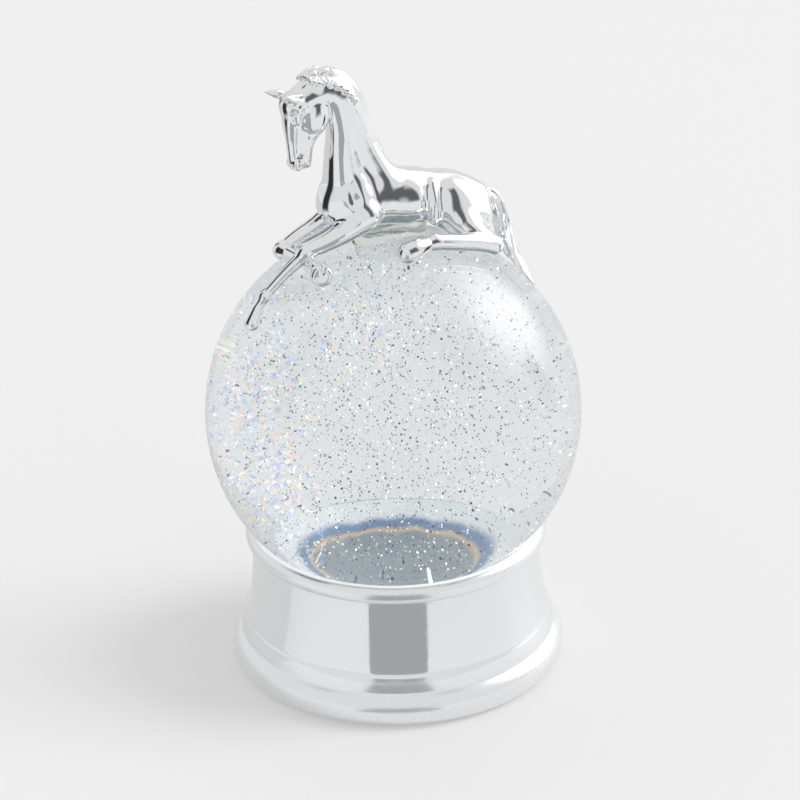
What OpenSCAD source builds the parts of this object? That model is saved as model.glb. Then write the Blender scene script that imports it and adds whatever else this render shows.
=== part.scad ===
// Snow globe: a plated horse lies on a glass globe of glitter liquid, in a turned plated base.
// Millimetres. +Z is up, and the origin is the centre of the face that the object stands on.

/* [Globe] */
// Outer diameter of the glass globe
globe_d = 120; // [110:1:130]
// Thickness of the glass
glass_wall = 3; // [2:0.5:4]
// Height of the globe's centre above the table
globe_z = 87; // [85:0.5:90]
// Inner diameter of the globe's neck
neck_id = 42; // [38:1:46]
// Lower end of the neck
neck_low_z = 24; // [22:0.5:26]
// Radius of the air bubble at the top of the liquid
bubble_r = 10.6; // [8:0.2:14]

/* [Base] */
// Widest diameter of the base, at its foot
foot_d = 107; // [105:0.5:110]
// Diameter of the base at the top of its cove
waist_d = 92.6; // [92:0.2:94]
// Diameter over the round bead that collars the globe
bead_d = 96.8; // [96:0.2:98]
// Height of the middle of the bead
bead_z = 45; // [44:0.5:46]
// Height of the foot's rim above the table
rim_z = 0.6; // [0.4:0.1:0.8]
// Gap that the bonding ring fills between the glass and its seat
seat_gap = 1.2; // [0.8:0.1:1.5]
// Thickness of the felt pad
felt_t = 1; // [0.9:0.1:1.5]

/* [Cover] */
// Diameter of the bottom cover
cover_d = 94.6; // [92:0.2:94.8]
// Radius of the circle of cover screws
screw_ring_r = 38; // [37:0.5:39]
// Radius of a screw's shank
screw_r = 1.45; // [1.2:0.05:1.5]

/* [Horse] */
// Turn of the horse from straight along the globe's X axis towards the front
horse_turn = 24; // [15:1:30]
// Distance of the horse's middle plane behind the globe's axis
horse_back = 4; // [2:0.5:6]
// Turn of the horse's head from its body towards the front
head_turn = 22; // [0:1:30]

/* [Glitter] */
// Loose silver flakes
silver_count = 44; // [20:2:60]
// Loose iridescent flakes
iridescent_count = 32; // [20:2:60]
// Flakes lying on the stopper
settled_count = 36; // [20:2:60]
// Radius of a flake
flake_r = 0.8; // [0.5:0.1:1.2]

/* [Hidden] */
screw_count = 4;
$fn = 96;
eps = 0.01;
globe_r = globe_d / 2;
inner_r = globe_r - glass_wall;
neck_r = neck_id / 2;
foot_r = foot_d / 2;
waist_r = waist_d / 2;
seat_r = globe_r + seat_gap;
bead_r = 3.4;
bead_mid_r = bead_d / 2 - bead_r;
wall = 3;
cavity_r = waist_r - wall;
cavity_top_z = 33;
cover_top_z = 3.4;
cover_low_z = felt_t;
screw_hole_r = screw_r + 0.05;
screw_len = 14;
screw_head_r = 2.9;
boss_r = 4;
boss_top_z = 22;
stopper_r = neck_r - 0.2;
stopper_top_z = 34.6;
flange_r = neck_r + 5;
flange_low_z = neck_low_z - 4;
liquid_gap = 0.3;
liquid_r = inner_r - liquid_gap;
liquid_low_z = stopper_top_z + 0.4;
liquid_top_z = globe_z + sqrt(liquid_r * liquid_r - bubble_r * bubble_r);
flake_t = 0.15;
golden_angle = 137.508;
horse_clearance = 0.05;
bond_r = globe_r + 4.6;

plated = [0.86, 0.87, 0.89];
clear = [0.85, 0.93, 0.95, 0.35];

// Points of a bowed stretch of outline from p to q; bow > 0 swells it outwards.
function bowed(p, q, bow, n = 8) = let (d = q - p, len = norm(d), side = [d[1], -d[0]] / len)
    [for (i = [0:n]) let (t = i / n) p + d * t + side * bow * 4 * t * (1 - t)];

// Points of a round stretch about a centre, from angle a to angle b.
function arc(c, r, a, b, n = 12) =
    [for (i = [0:n]) let (t = a + (b - a) * i / n) c + r * [cos(t), sin(t)]];

// Outer outline of the base from the rim of its foot up to the top of the bead.
function base_outline() = concat(
    [[cavity_r, rim_z]],
    arc([foot_r - 1.2, rim_z + 1.2], 1.2, -90, 0, 6),
    arc([foot_r - 1.2, 3.1], 1.2, 0, 75, 6),
    bowed([foot_r - 0.95, 4.7], [foot_r - 3.3, 11.2], 0.55),
    bowed([foot_r - 3.75, 11.6], [foot_r - 4.35, 16.6], 0.35),
    bowed([foot_r - 4.75, 17], [waist_r, bead_z - bead_r + 0.2], -0.75, 14),
    arc([bead_mid_r, bead_z], bead_r, -60, 130, 20),
    [[cavity_r, bead_z + 1]]);

// A point on the circle of cover screws.
function screw_place(i) = let (a = 45 + i * 360 / screw_count)
    [screw_ring_r * cos(a), screw_ring_r * sin(a)];

// One screw's boss, standing in the base from the cover up.
module screw_boss(i) {
    p = screw_place(i);
    translate([p[0], p[1], cover_top_z + 0.1])
        cylinder(r = boss_r, h = boss_top_z - cover_top_z);
    rotate([0, 0, 45 + i * 360 / screw_count])
        translate([screw_ring_r, -1.5, cover_top_z + 0.1])
            cube([cavity_r - screw_ring_r + 1, 3, boss_top_z - cover_top_z]);
}

// The turned, plated casing: foot, cove, bead collar, globe seat and screw bosses.
module base_shell() {
    color(plated)
    difference() {
        union() {
            difference() {
                rotate_extrude() polygon(concat([[0, rim_z]], base_outline(), [[0, bead_z + 1]]));
                translate([0, 0, cover_top_z]) cylinder(r = cavity_r, h = cavity_top_z - cover_top_z);
                translate([0, 0, rim_z - 1])
                    cylinder(r = cover_d / 2 + 0.2, h = cover_top_z + 0.1 - rim_z + 1);
            }
            for (i = [0:screw_count - 1]) screw_boss(i);
        }
        translate([0, 0, globe_z]) sphere(r = seat_r);
        translate([0, 0, cavity_top_z - 1]) cylinder(r = flange_r + 3.5, h = 12);
        for (i = [0:screw_count - 1]) translate([screw_place(i)[0], screw_place(i)[1], 0])
            cylinder(r = screw_hole_r, h = screw_len + 2);
    }
}

// The plate that closes the underside, drilled and countersunk for the screws.
module base_cover() {
    color([0.82, 0.83, 0.84])
    difference() {
        translate([0, 0, cover_low_z]) cylinder(d = cover_d, h = cover_top_z - cover_low_z);
        for (i = [0:screw_count - 1]) translate([screw_place(i)[0], screw_place(i)[1], cover_low_z]) {
            translate([0, 0, -1]) cylinder(r = screw_r + 0.3, h = 6);
            translate([0, 0, -eps]) cylinder(r1 = screw_head_r + 0.1, r2 = screw_r + 0.3, h = 1.6);
        }
    }
}

// One countersunk cover screw with a cross recess.
module cover_screw(i) {
    color([0.62, 0.63, 0.65])
    translate([screw_place(i)[0], screw_place(i)[1], cover_low_z + 0.1])
    difference() {
        union() {
            cylinder(r1 = screw_head_r, r2 = screw_r, h = 1.5);
            cylinder(r = screw_r, h = screw_len - 2);
            translate([0, 0, screw_len - 2]) cylinder(r1 = screw_r, r2 = 0.3, h = 2);
        }
        for (a = [0, 90]) rotate([0, 0, a]) translate([-1.6, -0.3, -0.1]) cube([3.2, 0.6, 0.9]);
    }
}

// The felt disc that the object stands on.
module felt_pad() {
    color([0.22, 0.23, 0.25]) cylinder(d = cover_d - 1, h = felt_t);
}

// Clear silicone that beds the globe in its seat.
module globe_bond_ring() {
    color(clear)
    difference() {
        intersection() {
            translate([0, 0, globe_z]) sphere(r = seat_r);
            translate([0, 0, 37.6]) cylinder(r = bead_mid_r, h = 7.4);
        }
        translate([0, 0, globe_z]) sphere(r = globe_r);
        translate([0, 0, 30]) cylinder(r = neck_r + 8.6, h = 20);
    }
}

// The blown glass globe with its open neck.
module glass_globe() {
    color([0.80, 0.90, 0.95, 0.35])
    difference() {
        union() {
            translate([0, 0, globe_z]) sphere(r = globe_r);
            translate([0, 0, neck_low_z]) cylinder(r = neck_r + glass_wall, h = 16);
        }
        translate([0, 0, globe_z]) sphere(r = inner_r);
        translate([0, 0, neck_low_z - 1]) cylinder(r = neck_r, h = 20);
    }
}

// The rubber stopper: a plug with a rounded top edge, a flange and a hollow underside.
module stopper() {
    color([0.20, 0.22, 0.26])
    difference() {
        rotate_extrude() polygon(concat(
            [[0, flange_low_z], [flange_r, flange_low_z], [flange_r, neck_low_z - 0.02],
                [stopper_r, neck_low_z - 0.02]],
            arc([stopper_r - 1, stopper_top_z - 1], 1, 0, 90, 6),
            [[0, stopper_top_z]]));
        translate([0, 0, flange_low_z - 1]) cylinder(r = neck_r - 7, h = 10);
    }
}

// Sealant run round the neck and over the stopper's flange.
module stopper_seal() {
    color([0.90, 0.90, 0.86])
    rotate_extrude() polygon([
        [flange_r + 0.05, flange_low_z - 0.2], [flange_r + 1.6, flange_low_z - 0.2],
        [flange_r + 1.6, neck_low_z + 0.5], [neck_r + glass_wall + 0.05, neck_low_z + 3.5],
        [neck_r + glass_wall + 0.05, neck_low_z + 0.05], [flange_r + 0.05, neck_low_z + 0.05]]);
}

// The liquid, with the flat top that the air bubble leaves.
module liquid() {
    color([0.90, 0.95, 1.0, 0.2])
    intersection() {
        translate([0, 0, globe_z]) sphere(r = liquid_r);
        translate([0, 0, liquid_low_z]) cylinder(r = globe_r, h = liquid_top_z - liquid_low_z);
    }
}

// One six-sided flake, lying flat.
module flake(r) { cylinder(r = r, h = flake_t, $fn = 6); }

// Loose flakes spread through the liquid, one to each step of a spiral that fills a ball.
module loose_flakes(count, reach, phase) {
    for (i = [0:count - 1])
        let (t = (i + 0.5) / count, rise = 1 - 2 * t, ring = sqrt(1 - rise * rise),
            depth = reach * pow(0.15 + 0.85 * ((i * 7) % count) / count, 1 / 3),
            turn = i * golden_angle + phase)
        translate([depth * ring * cos(turn), depth * ring * sin(turn), globe_z + depth * rise * 0.86])
            rotate([turn * 3, turn * 5, turn]) flake(flake_r);
}

// Silver flakes adrift in the liquid.
module silver_glitter() { color([0.80, 0.81, 0.84]) loose_flakes(silver_count, 52, 0); }

// Iridescent flakes adrift in the liquid.
module iridescent_glitter() { color([0.78, 0.84, 0.95]) loose_flakes(iridescent_count, 49, 60); }

// Flakes that have come to rest on the stopper.
module settled_glitter() {
    color([0.88, 0.88, 0.86])
    for (i = [0:settled_count - 1])
        let (reach = (neck_r - 3) * sqrt((i + 0.5) / settled_count), turn = i * golden_angle)
        translate([reach * cos(turn), reach * sin(turn), liquid_low_z + 0.15])
            rotate([0, 0, turn]) flake(flake_r);
}

// The clear pads that bond the horse to the glass, under its belly and its haunches.
module figurine_bond() {
    color(clear)
    translate([0, 0, globe_z])
    difference() {
        intersection() {
            sphere(r = bond_r);
            horse_frame() {
                translate([-8, -4.5, 0]) cube([16, 9, globe_d]);
                for (x = [-8, 8]) translate([x, 0, 0]) cylinder(r = 4.5, h = globe_d);
            }
        }
        sphere(r = globe_r + 0.02);
    }
}

// The horse's own axes: +X to its front, +Y to its left, up from the globe's centre.
module horse_frame() {
    translate([0, horse_back, 0]) rotate([0, 0, 180 + horse_turn]) children();
}

// A chain of balls, each [forward, left, up, radius], with a skin drawn over each pair.
module limb(balls) {
    for (i = [0:len(balls) - 2])
        hull() for (b = [balls[i], balls[i + 1]])
            translate([b[0], b[1], b[2]]) sphere(r = b[3], $fn = 18);
}

module horse_body() {
    limb([[17, 0, 74, 7.6], [6, 0, 73.5, 9], [-5, 0, 72, 8.3], [-13, 0, 71.5, 7.7],
        [-20, 0, 68.3, 9], [-27, 0, 65.5, 7.6]]);
    limb([[6, 0, 73.5, 9], [-1, 0, 77, 6]]);
    for (side = [-1, 1]) {
        limb([[14, side * 4, 75, 6], [12.5, side * 6.5, 71, 4.6]]);
        limb([[-14, side * 6.5, 66, 4.5], [-21, side * 5.5, 63.5, 6.3], [-28, side * 4.5, 61, 5.5]]);
    }
}

module horse_neck() {
    limb([[15, 0, 79, 7.5], [15.5, 0, 90.5, 6], [15.5, 0, 100.5, 5], [18, 0, 109.5, 5],
        [23, 0, 113.5, 4.6]]);
    limb([[4, 0, 79.5, 6.5], [9.5, 0, 91.5, 4.6], [12, 0, 102, 4.2], [16.5, 0, 111.5, 4.4],
        [20, 0, 115, 3.6], [26, 0, 115.5, 3.4]]);
}

module horse_head() {
    translate([24, 0, 110]) rotate([0, 0, head_turn]) {
        limb([[0.6, 0, 2.6, 4.3], [5, 0, 2.2, 4.3], [8.2, 0, 0.6, 4.2], [9.4, 0, -5, 3],
            [9, 0, -12, 2.1], [8.2, 0, -18, 2.2]]);
        limb([[2.4, 0, -1.5, 4.6], [3.4, 0, -5.8, 4.5], [5, 0, -11.6, 2.5], [5.8, 0, -18.6, 2.4]]);
        for (side = [-1, 1])
            limb([[6, side * 2.7, 3.6, 1.6], [10, side * 3.1, 4.9, 1.2], [14.4, side * 3.4, 6.2, 0.4]]);
    }
}

module horse_forelegs() {
    limb([[12.5, 7, 70.5, 4.6], [20.5, 6.8, 65.8, 3.3], [31, 5, 62.3, 2.5], [38, 4, 56, 1.8],
        [45.5, 3, 49, 2], [48, 3, 45, 1.7], [50.3, 3, 40.3, 2.3]]);
    limb([[14, -6, 71, 4.8], [21, -6.8, 66, 3.6], [33.5, -8, 57.8, 3.2], [30.5, 2, 58.2, 1.8],
        [29.5, 9, 58.6, 1.9], [28.5, 12.5, 57.2, 2.9]]);
}

module horse_hind_legs() {
    limb([[-21, 8, 62, 5], [-29, 13.5, 54.8, 2.7], [-17.5, 16, 58.8, 2], [-8, 16, 62, 2.2],
        [1, 18, 61.8, 2.6]]);
    limb([[-21, -8, 61, 5], [-29, -13.5, 52.6, 2.7], [-17.5, -15, 57.6, 2], [-8, -15.5, 60, 2.2],
        [1, -16.5, 60, 2.6]]);
}

module horse_tail() {
    limb([[-32, 0, 66.6, 2.8], [-37, 1, 61.5, 2.8], [-38.4, 2.5, 52.5, 3], [-36.8, 12, 49.5, 2.7],
        [-37.4, 20.5, 45, 2.3], [-41, 23.4, 39.2, 1.3]]);
}

// The plated horse: one casting whose underside follows the glass.
module horse_figurine() {
    color(plated)
    translate([0, 0, globe_z])
    difference() {
        horse_frame() {
            horse_body();
            horse_neck();
            horse_head();
            horse_forelegs();
            horse_hind_legs();
            horse_tail();
        }
        sphere(r = globe_r + horse_clearance, $fn = 72);
    }
}

base_shell();
base_cover();
cover_screw(0);  // cover_screw_1
cover_screw(1);  // cover_screw_2
cover_screw(2);  // cover_screw_3
cover_screw(3);  // cover_screw_4
felt_pad();
globe_bond_ring();
glass_globe();
stopper();
stopper_seal();
liquid();
silver_glitter();
iridescent_glitter();
settled_glitter();
figurine_bond();
horse_figurine();
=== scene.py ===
"""Snow globe: a plated horse lies on a glass globe of glitter liquid, in a turned plated base.

Lengths are metres in the frame's own axes: +Z up, -Y to the front. The horse is drawn in millimetres in axes
of its own, forward, left and up from the globe's centre, and then placed.
"""

import math
import bpy
import numpy as np
from mathutils import Matrix, Vector


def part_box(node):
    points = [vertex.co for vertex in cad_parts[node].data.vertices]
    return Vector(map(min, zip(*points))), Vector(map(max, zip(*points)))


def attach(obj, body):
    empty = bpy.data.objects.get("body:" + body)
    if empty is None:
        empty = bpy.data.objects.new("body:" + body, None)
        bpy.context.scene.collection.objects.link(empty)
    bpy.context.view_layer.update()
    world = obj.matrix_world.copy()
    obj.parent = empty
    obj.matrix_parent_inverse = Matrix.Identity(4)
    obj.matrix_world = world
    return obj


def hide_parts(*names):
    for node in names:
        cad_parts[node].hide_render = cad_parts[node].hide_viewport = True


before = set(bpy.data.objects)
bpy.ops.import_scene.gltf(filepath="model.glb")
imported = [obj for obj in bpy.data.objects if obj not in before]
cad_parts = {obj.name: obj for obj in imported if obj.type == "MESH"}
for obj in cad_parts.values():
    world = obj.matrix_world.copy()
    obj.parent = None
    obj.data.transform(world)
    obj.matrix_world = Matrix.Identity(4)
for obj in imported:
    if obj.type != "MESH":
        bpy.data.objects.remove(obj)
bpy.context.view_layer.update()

bl_info = {
    "name": "Snow Globe Maker",
    "version": (1, 0, 0),
    "blender": (4, 5, 0),
    "location": "3D Viewport > Sidebar > Snow Globe",
    "description": "Makes a glitter globe with a plated horse on a plated base",
    "category": "Add Mesh",
}

MM = 0.001
GLASS_LOW, GLASS_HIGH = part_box("glass_globe")
BASE_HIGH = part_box("base_shell")[1]
STOPPER_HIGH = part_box("stopper")[1]
LIQUID_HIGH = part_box("liquid")[1]
COVER_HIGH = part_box("base_cover")[1]
GLOBE_R = round(GLASS_HIGH.x, 4)
GLOBE_Z = round(GLASS_HIGH.z, 4) - GLOBE_R
FOOT_R = round(BASE_HIGH.x, 4)


# ---------------------------------------------------------------- settings

def length(name, default, description):
    return bpy.props.FloatProperty(
        name=name, default=default, description=description, subtype="DISTANCE", unit="LENGTH")


def angle(name, degrees, description):
    return bpy.props.FloatProperty(
        name=name, default=math.radians(degrees), description=description, subtype="ANGLE", unit="ROTATION")


def factor(name, default, description):
    return bpy.props.FloatProperty(
        name=name, default=default, description=description, subtype="FACTOR", min=0.0, max=1.0)


def count(name, default, description):
    return bpy.props.IntProperty(name=name, default=default, description=description, min=1)


def tint(name, default, description):
    return bpy.props.FloatVectorProperty(
        name=name, default=default, description=description, subtype="COLOR", size=3, min=0.0, max=1.0)


class SNOWGLOBE_PG_globe(bpy.types.PropertyGroup):
    glass_radius: length("Glass radius", GLOBE_R, "Outer radius of the glass")
    glass_wall: length("Glass wall", 0.003, "Thickness of the glass")
    centre_height: length("Centre height", GLOBE_Z, "Height of the globe's centre")
    neck_radius: length("Neck radius", 0.021, "Inner radius of the neck")
    wetting: length("Wetting", 0.00006, "How far the liquid is drawn into the glass that it wets")
    glass_tint: tint("Glass tint", (0.97, 0.985, 0.99), "Colour of the glass")
    liquid_tint: tint("Liquid tint", (0.905, 0.915, 0.92), "Colour of the liquid")
    stopper_tint: tint("Stopper tint", (0.20, 0.235, 0.255), "Colour of the stopper and of deep bedding")
    fringe_tint: tint("Fringe tint", (0.115, 0.19, 0.315), "Colour of the blue fringe round the dark bedding")
    warm_tint: tint("Warm fringe tint", (0.50, 0.38, 0.24), "Colour of the thin warm line inside the fringe")
    bedding_tint: tint("Bedding tint", (0.60, 0.62, 0.63), "Colour of the bedding next to its rim")


class SNOWGLOBE_PG_base(bpy.types.PropertyGroup):
    foot_radius: length("Foot radius", FOOT_R, "Widest radius of the base")
    waist_radius: length("Waist radius", 0.0463, "Radius at the top of the cove")
    bead_radius: length("Bead radius", 0.0484, "Outer radius of the bead collar")
    bead_height: length("Bead height", 0.045, "Height of the middle of the bead")
    rim_height: length("Rim height", 0.0006, "Height of the foot's rim above the table")
    seat_gap: length("Seat gap", 0.0012, "Gap between the glass and its seat")
    plate_tint: tint("Plating", (0.87, 0.875, 0.885), "Colour of the bright plating")
    steps: count("Steps round", 256, "Steps round each turned piece")


class SNOWGLOBE_PG_horse(bpy.types.PropertyGroup):
    turn: angle("Turn", 24, "Turn of the horse towards the front")
    set_back: length("Set back", 0.004, "Distance of the horse's middle plane behind the globe's axis")
    head_turn: angle("Head turn", 12, "Turn of the head from the body")
    cell: length("Cell", 0.000375, "Spacing of the grid that the horse is drawn on")


class SNOWGLOBE_PG_glitter(bpy.types.PropertyGroup):
    silver_count: count("Silver flakes", 14800, "Draws for loose silver flakes")
    iridescent_count: count("Iridescent flakes", 3000, "Draws for loose iridescent flakes")
    settled_count: count("Settled flakes", 72000, "Draws for flakes lying low on the glass")
    flake_radius: length("Flake radius", 0.00022, "Radius of a fine flake")
    seed: count("Seed", 7, "Seed of every random draw")


class SNOWGLOBE_PG_stage(bpy.types.PropertyGroup):
    distance: length("Camera distance", 1.5, "Camera's distance from the globe's centre")
    elevation: angle("Camera elevation", 26.7, "Camera's angle above the horizon")
    roll: angle("Camera roll", 1.2, "Camera's lean to its right")
    lens: bpy.props.FloatProperty(name="Lens", default=211.8, description="Focal length in millimetres")
    floor_tint: tint("Floor", (0.45, 0.45, 0.45), "Colour of the floor")
    floor_glow: factor("Floor glow", 0.33, "Light that comes up through the floor")
    sky: factor("Sky", 0.8, "Brightness of the white surroundings")
    sun: bpy.props.FloatProperty(name="Window", default=2.0, min=0.0,
                                 description="Strength of the window light")


SETTINGS = {
    "snow_globe_globe": SNOWGLOBE_PG_globe,
    "snow_globe_base": SNOWGLOBE_PG_base,
    "snow_globe_horse": SNOWGLOBE_PG_horse,
    "snow_globe_glitter": SNOWGLOBE_PG_glitter,
    "snow_globe_stage": SNOWGLOBE_PG_stage,
}


# ---------------------------------------------------------------- shader helpers

def node_group(name, inputs, outputs):
    """An empty shader group with named float inputs and named outputs."""
    group = bpy.data.node_groups.new(name, "ShaderNodeTree")
    for label, default in inputs.items():
        socket = group.interface.new_socket(label, in_out="INPUT", socket_type="NodeSocketFloat")
        socket.default_value = default
    for label, kind in outputs.items():
        group.interface.new_socket(label, in_out="OUTPUT", socket_type=kind)
    return group, group.nodes.new("NodeGroupInput"), group.nodes.new("NodeGroupOutput")


def build_haze_group():
    """Handling haze: a mask of broad smears and fine dust, read from Object coordinates."""
    group, inlet, outlet = node_group(
        "handling_haze", {"Smear Scale": 60.0, "Dust Scale": 900.0, "Low": 0.0, "High": 1.0},
        {"Value": "NodeSocketFloat"})
    nodes, links = group.nodes, group.links
    place = nodes.new("ShaderNodeTexCoord")
    smear = nodes.new("ShaderNodeTexNoise")
    smear.inputs["Detail"].default_value = 3.0
    smear.inputs["Distortion"].default_value = 0.6
    dust = nodes.new("ShaderNodeTexNoise")
    dust.inputs["Detail"].default_value = 1.0
    links.new(place.outputs["Object"], smear.inputs["Vector"])
    links.new(place.outputs["Object"], dust.inputs["Vector"])
    links.new(inlet.outputs["Smear Scale"], smear.inputs["Scale"])
    links.new(inlet.outputs["Dust Scale"], dust.inputs["Scale"])
    both = nodes.new("ShaderNodeMath")
    both.operation = "MULTIPLY"
    links.new(smear.outputs["Fac"], both.inputs[0])
    links.new(dust.outputs["Fac"], both.inputs[1])
    spread = nodes.new("ShaderNodeMapRange")
    spread.inputs["From Min"].default_value = 0.15
    spread.inputs["From Max"].default_value = 0.45
    links.new(both.outputs[0], spread.inputs["Value"])
    links.new(inlet.outputs["Low"], spread.inputs["To Min"])
    links.new(inlet.outputs["High"], spread.inputs["To Max"])
    links.new(spread.outputs["Result"], outlet.inputs["Value"])
    return group


def build_ripple_group():
    """Casting ripple: a slow height that bends reflections a little, read from Object coordinates."""
    group, inlet, outlet = node_group(
        "casting_ripple", {"Scale": 90.0, "Fine Scale": 420.0, "Fine Share": 0.1},
        {"Height": "NodeSocketFloat"})
    nodes, links = group.nodes, group.links
    place = nodes.new("ShaderNodeTexCoord")
    broad = nodes.new("ShaderNodeTexNoise")
    broad.inputs["Detail"].default_value = 0.0
    fine = nodes.new("ShaderNodeTexNoise")
    fine.inputs["Detail"].default_value = 2.0
    for texture, scale in ((broad, "Scale"), (fine, "Fine Scale")):
        links.new(place.outputs["Object"], texture.inputs["Vector"])
        links.new(inlet.outputs[scale], texture.inputs["Scale"])
    share = nodes.new("ShaderNodeMath")
    share.operation = "MULTIPLY_ADD"
    links.new(fine.outputs["Fac"], share.inputs[0])
    links.new(inlet.outputs["Fine Share"], share.inputs[1])
    links.new(broad.outputs["Fac"], share.inputs[2])
    links.new(share.outputs[0], outlet.inputs["Height"])
    return group


def shared_group(name, build):
    return bpy.data.node_groups.get(name) or build()


def new_material(name, colour, roughness, metallic=0.0, **sockets):
    """A Principled material; further sockets are named in words with underscores for spaces."""
    material = bpy.data.materials.new(name)
    material.use_nodes = True
    shader = material.node_tree.nodes["Principled BSDF"]
    shader.inputs["Base Color"].default_value = (*colour, 1.0)
    shader.inputs["Roughness"].default_value = roughness
    shader.inputs["Metallic"].default_value = metallic
    for label, value in sockets.items():
        shader.inputs[label.replace("_", " ")].default_value = value
    material.diffuse_color = (*colour, 1.0)
    return material, shader


def place_group(material, group, **values):
    node = material.node_tree.nodes.new("ShaderNodeGroup")
    node.node_tree = group
    for label, value in values.items():
        node.inputs[label.replace("_", " ")].default_value = value
    return node


def add_haze(material, shader, low, high, smear=60.0, dust=900.0):
    """Roughness that runs between low and high with the handling haze."""
    haze = place_group(material, shared_group("handling_haze", build_haze_group),
                       Smear_Scale=smear, Dust_Scale=dust, Low=low, High=high)
    material.node_tree.links.new(haze.outputs["Value"], shader.inputs["Roughness"])


def add_ripple(material, shader, strength, distance, scale, fine_share=0.1, fine_scale=420.0):
    ripple = place_group(material, shared_group("casting_ripple", build_ripple_group),
                         Scale=scale, Fine_Scale=fine_scale, Fine_Share=fine_share)
    bump = material.node_tree.nodes.new("ShaderNodeBump")
    bump.inputs["Strength"].default_value = strength
    bump.inputs["Distance"].default_value = distance
    material.node_tree.links.new(ripple.outputs["Height"], bump.inputs["Height"])
    material.node_tree.links.new(bump.outputs["Normal"], shader.inputs["Normal"])


def ramp(material, stops):
    """A colour ramp with (place, colour) stops."""
    node = material.node_tree.nodes.new("ShaderNodeValToRGB")
    elements = node.color_ramp.elements
    while len(elements) < len(stops):
        elements.new(1.0)
    for element, (place, colour) in zip(elements, stops):
        element.position = place
        element.color = (*colour, 1.0)
    return node


# ---------------------------------------------------------------- finishes

def plating(name, colour, ripple_scale, ripple_depth, haze=0.05):
    """Bright silver plating over a casting: a true mirror, with faint haze and a slow ripple."""
    material, shader = new_material(name, colour, 0.03, 1.0)
    add_haze(material, shader, haze * 0.4, haze)
    add_ripple(material, shader, 0.35, ripple_depth, ripple_scale)
    return material


def soften_ends(material, foot_from, foot_to, bead_from, bead_to, satin=0.15):
    """Makes the plating satin below and above two heights, where the casing was buffed less."""
    nodes, links = material.node_tree.nodes, material.node_tree.links
    shader = nodes["Principled BSDF"]
    polish = shader.inputs["Roughness"].links[0].from_socket
    place = nodes.new("ShaderNodeTexCoord")
    split = nodes.new("ShaderNodeSeparateXYZ")
    links.new(place.outputs["Object"], split.inputs["Vector"])
    rises = []
    for start, end in ((foot_from, foot_to), (bead_from, bead_to)):
        rise = nodes.new("ShaderNodeMapRange")
        rise.inputs["From Min"].default_value = start
        rise.inputs["From Max"].default_value = end
        rise.inputs["To Max"].default_value = satin
        links.new(split.outputs["Z"], rise.inputs["Value"])
        rises.append(rise.outputs["Result"])
    total = polish
    for rise in rises:
        plus = nodes.new("ShaderNodeMath")
        plus.operation = "ADD"
        links.new(total, plus.inputs[0])
        links.new(rise, plus.inputs[1])
        total = plus.outputs[0]
    links.new(total, shader.inputs["Roughness"])


def globe_glass(colour):
    material, shader = new_material("globe_glass", colour, 0.0, IOR=1.47, Transmission_Weight=1.0)
    add_haze(material, shader, 0.0, 0.012, smear=35.0, dust=500.0)
    return material


def clear_liquid(colour):
    material, shader = new_material("clear_liquid", colour, 0.0, IOR=1.36, Transmission_Weight=1.0)
    add_haze(material, shader, 0.0, 0.004, smear=25.0, dust=400.0)
    return material


def clear_bond(name, colour, roughness_high):
    """Clear cured adhesive, with the layers that it is run in."""
    material, shader = new_material(name, colour, 0.05, IOR=1.45, Transmission_Weight=1.0)
    add_haze(material, shader, 0.0, roughness_high, smear=300.0, dust=1500.0)
    add_ripple(material, shader, 0.3, 0.0003, 500.0)
    return material


def bottom_finish(name, stops, radius, glow):
    """Bedding seen through the liquid.

    Its colour runs out from the axis, in shares of radius, with a ragged edge. It glows a little in that
    colour: painted light for the light that reaches it through the glass.
    """
    raggedness = 0.022
    material, shader = new_material(name, stops[0][1], 0.45)
    nodes, links = material.node_tree.nodes, material.node_tree.links
    place = nodes.new("ShaderNodeTexCoord")
    flat = nodes.new("ShaderNodeVectorMath")
    flat.operation = "MULTIPLY"
    flat.inputs[1].default_value = (1.0 / radius, 1.0 / radius, 0.0)
    links.new(place.outputs["Object"], flat.inputs[0])
    ragged = nodes.new("ShaderNodeTexNoise")
    ragged.inputs["Scale"].default_value = 260.0
    ragged.inputs["Detail"].default_value = 3.0
    links.new(place.outputs["Object"], ragged.inputs["Vector"])
    reach = nodes.new("ShaderNodeVectorMath")
    reach.operation = "LENGTH"
    links.new(flat.outputs["Vector"], reach.inputs[0])
    drift = nodes.new("ShaderNodeMath")
    drift.operation = "MULTIPLY_ADD"
    drift.inputs[1].default_value = raggedness
    links.new(ragged.outputs["Fac"], drift.inputs[0])
    links.new(reach.outputs["Value"], drift.inputs[2])
    shift = nodes.new("ShaderNodeMath")
    shift.operation = "SUBTRACT"
    shift.inputs[1].default_value = raggedness / 2
    links.new(drift.outputs[0], shift.inputs[0])
    colours = ramp(material, stops)
    links.new(shift.outputs[0], colours.inputs["Fac"])
    links.new(colours.outputs["Color"], shader.inputs["Base Color"])
    # Painted light: the bedding glows in its own colours.
    links.new(colours.outputs["Color"], shader.inputs["Emission Color"])
    shader.inputs["Emission Strength"].default_value = glow
    add_haze(material, shader, 0.35, 0.6)
    add_ripple(material, shader, 0.3, 0.0002, 700.0, fine_share=0.5, fine_scale=3000.0)
    return material


def plain_finish(name, colour, rough_low, rough_high, grain_scale, grain_depth, metallic=0.0, **sockets):
    """Plastic, steel, felt or sealant: a base colour with its own grain."""
    material, shader = new_material(name, colour, rough_high, metallic, **sockets)
    add_haze(material, shader, rough_low, rough_high, smear=120.0, dust=grain_scale)
    add_ripple(material, shader, 0.6, grain_depth, grain_scale, fine_share=0.6, fine_scale=grain_scale * 4)
    return material


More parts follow.
